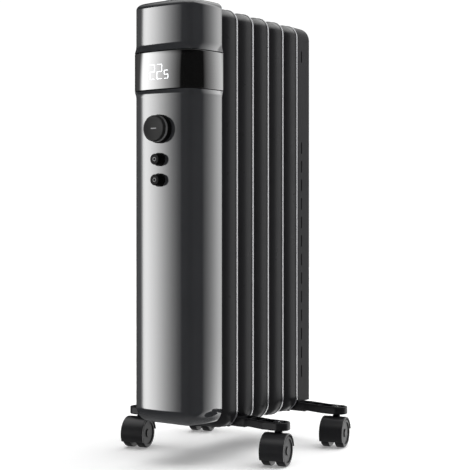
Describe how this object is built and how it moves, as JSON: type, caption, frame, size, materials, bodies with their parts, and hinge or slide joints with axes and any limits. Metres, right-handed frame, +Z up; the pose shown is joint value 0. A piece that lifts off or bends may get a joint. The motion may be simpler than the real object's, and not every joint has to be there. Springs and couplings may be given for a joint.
{
  "type": "oil filled radiator heater",
  "caption": "Oil filled radiator heater: slim gloss control housing with a display band, pressed fins behind it, slotted rear cover and cross feet on casters.",
  "frame": {"origin": "on the floor, halfway between the knob's face and the back of the rear cover, midway between the left and right feet", "axes": "+Z up, -Y the front with the knob and display, +X to the right of someone facing the front"},
  "size_m": [0.2827, 0.315, 0.6394],
  "materials": {
    "fin_enamel": "satin dark enamel on pressed steel",
    "cover_enamel": "satin dark enamel on pressed steel",
    "housing_gloss": "gloss dark grey",
    "band_black": "piano black, polished",
    "handle_grey": "satin light grey",
    "display_block": "dark filled epoxy block",
    "display_light": "lit white segments",
    "control_black": "semi gloss black",
    "switch_plastic": "moulded",
    "board_green": "coated circuit board",
    "component_dark": "moulded component cases",
    "plated_steel": "zinc plated",
    "element_steel": "drawn tube",
    "axle_steel": "ground pin",
    "chrome_stem": "bright plated",
    "gasket_rubber": "fibre rubber",
    "foot_plastic": "satin moulded black",
    "caster_plastic": "satin moulded black",
    "wheel_plastic": "satin moulded black"
  },
  "bodies": {
    "heater": {"button_collars": "control_black", "cable_inlet": "control_black", "carry_handle": "handle_grey", "caster_stems": "chrome_stem", "control_board": "board_green", "display_band": "band_black", "display_digits": "display_light", "display_module": "display_block", "fin_1": "fin_enamel", "fin_2": "fin_enamel", "fin_3": "fin_enamel", "fin_4": "fin_enamel", "fin_5": "fin_enamel", "fin_6": "fin_enamel", "foot_u_bolts": "plated_steel", "foot_wing_nuts": "foot_plastic", "front_foot": "foot_plastic", "header_collars": "fin_enamel", "heater_flange": "plated_steel", "heater_gasket": "gasket_rubber", "heating_elements": "element_steel", "housing_back_plate": "fin_enamel", "housing_screws": "plated_steel", "knob_collar": "control_black", "lower_housing": "housing_gloss", "oil_filler_plug": "plated_steel", "power_board": "board_green", "power_components": "component_dark", "rear_cover": "cover_enamel", "rear_cover_screws": "plated_steel", "rear_foot": "foot_plastic", "room_sensor": "component_dark", "rotary_encoder": "plated_steel", "tact_switches": "switch_plastic", "terminal_block": "switch_plastic", "thermal_cutout": "element_steel", "tip_over_switch": "component_dark", "top_cap": "housing_gloss"},
    "knob": {"knob": "control_black", "encoder_shaft": "plated_steel"},
    "knob_push": {"encoder_slider": "switch_plastic"},
    "mode_button": {"mode_button": "control_black"},
    "power_button": {"power_button": "control_black"},
    "front_right_caster": {"caster_hood_front_right": "caster_plastic", "caster_axle_front_right": "axle_steel"},
    "front_right_left_wheel": {"wheel_front_right_left": "wheel_plastic"},
    "front_right_right_wheel": {"wheel_front_right_right": "wheel_plastic"},
    "front_left_caster": {"caster_hood_front_left": "caster_plastic", "caster_axle_front_left": "axle_steel"},
    "front_left_left_wheel": {"wheel_front_left_left": "wheel_plastic"},
    "front_left_right_wheel": {"wheel_front_left_right": "wheel_plastic"},
    "rear_right_caster": {"caster_hood_rear_right": "caster_plastic", "caster_axle_rear_right": "axle_steel"},
    "rear_right_left_wheel": {"wheel_rear_right_left": "wheel_plastic"},
    "rear_right_right_wheel": {"wheel_rear_right_right": "wheel_plastic"},
    "rear_left_caster": {"caster_hood_rear_left": "caster_plastic", "caster_axle_rear_left": "axle_steel"},
    "rear_left_left_wheel": {"wheel_rear_left_left": "wheel_plastic"},
    "rear_left_right_wheel": {"wheel_rear_left_right": "wheel_plastic"}
  },
  "joints": [
    {"name": "knob_push", "type": "slide", "parent": "heater", "child": "knob_push", "axis": [0, 1, 0], "range_m": [0, 0.001], "stiffness_N_per_m": 2000, "springref_m": -0.0008},
    {"name": "knob_turn", "type": "hinge", "parent": "knob_push", "child": "knob", "pos_m": [0, -0.143, 0.4543], "axis": [0, -1, 0], "continuous": true},
    {"name": "mode_button_press", "type": "slide", "parent": "heater", "child": "mode_button", "axis": [0, 1, 0], "range_m": [0, 0.0015], "stiffness_N_per_m": 900, "springref_m": -0.0008},
    {"name": "power_button_press", "type": "slide", "parent": "heater", "child": "power_button", "axis": [0, 1, 0], "range_m": [0, 0.0015], "stiffness_N_per_m": 900, "springref_m": -0.0008},
    {"name": "front_right_swivel", "type": "hinge", "parent": "heater", "child": "front_right_caster", "pos_m": [0.1196, -0.0345, 0.044], "axis": [0, 0, 1], "continuous": true},
    {"name": "front_right_left_wheel_spin", "type": "hinge", "parent": "front_right_caster", "child": "front_right_left_wheel", "pos_m": [0.12126, -0.04233, 0.021], "axis": [0.9781, 0.2079, 0], "continuous": true},
    {"name": "front_right_right_wheel_spin", "type": "hinge", "parent": "front_right_caster", "child": "front_right_right_wheel", "pos_m": [0.12126, -0.04233, 0.021], "axis": [0.9781, 0.2079, 0], "continuous": true},
    {"name": "front_left_swivel", "type": "hinge", "parent": "heater", "child": "front_left_caster", "pos_m": [-0.1196, -0.0345, 0.044], "axis": [0, 0, 1], "continuous": true},
    {"name": "front_left_left_wheel_spin", "type": "hinge", "parent": "front_left_caster", "child": "front_left_left_wheel", "pos_m": [-0.11794, -0.04233, 0.021], "axis": [0.9781, 0.2079, 0], "continuous": true},
    {"name": "front_left_right_wheel_spin", "type": "hinge", "parent": "front_left_caster", "child": "front_left_right_wheel", "pos_m": [-0.11794, -0.04233, 0.021], "axis": [0.9781, 0.2079, 0], "continuous": true},
    {"name": "rear_right_swivel", "type": "hinge", "parent": "heater", "child": "rear_right_caster", "pos_m": [0.1196, 0.1265, 0.044], "axis": [0, 0, 1], "continuous": true},
    {"name": "rear_right_left_wheel_spin", "type": "hinge", "parent": "rear_right_caster", "child": "rear_right_left_wheel", "pos_m": [0.12126, 0.11867, 0.021], "axis": [0.9781, 0.2079, 0], "continuous": true},
    {"name": "rear_right_right_wheel_spin", "type": "hinge", "parent": "rear_right_caster", "child": "rear_right_right_wheel", "pos_m": [0.12126, 0.11867, 0.021], "axis": [0.9781, 0.2079, 0], "continuous": true},
    {"name": "rear_left_swivel", "type": "hinge", "parent": "heater", "child": "rear_left_caster", "pos_m": [-0.1196, 0.1265, 0.044], "axis": [0, 0, 1], "continuous": true},
    {"name": "rear_left_left_wheel_spin", "type": "hinge", "parent": "rear_left_caster", "child": "rear_left_left_wheel", "pos_m": [-0.11794, 0.11867, 0.021], "axis": [0.9781, 0.2079, 0], "continuous": true},
    {"name": "rear_left_right_wheel_spin", "type": "hinge", "parent": "rear_left_caster", "child": "rear_left_right_wheel", "pos_m": [-0.11794, 0.11867, 0.021], "axis": [0.9781, 0.2079, 0], "continuous": true}
  ]
}
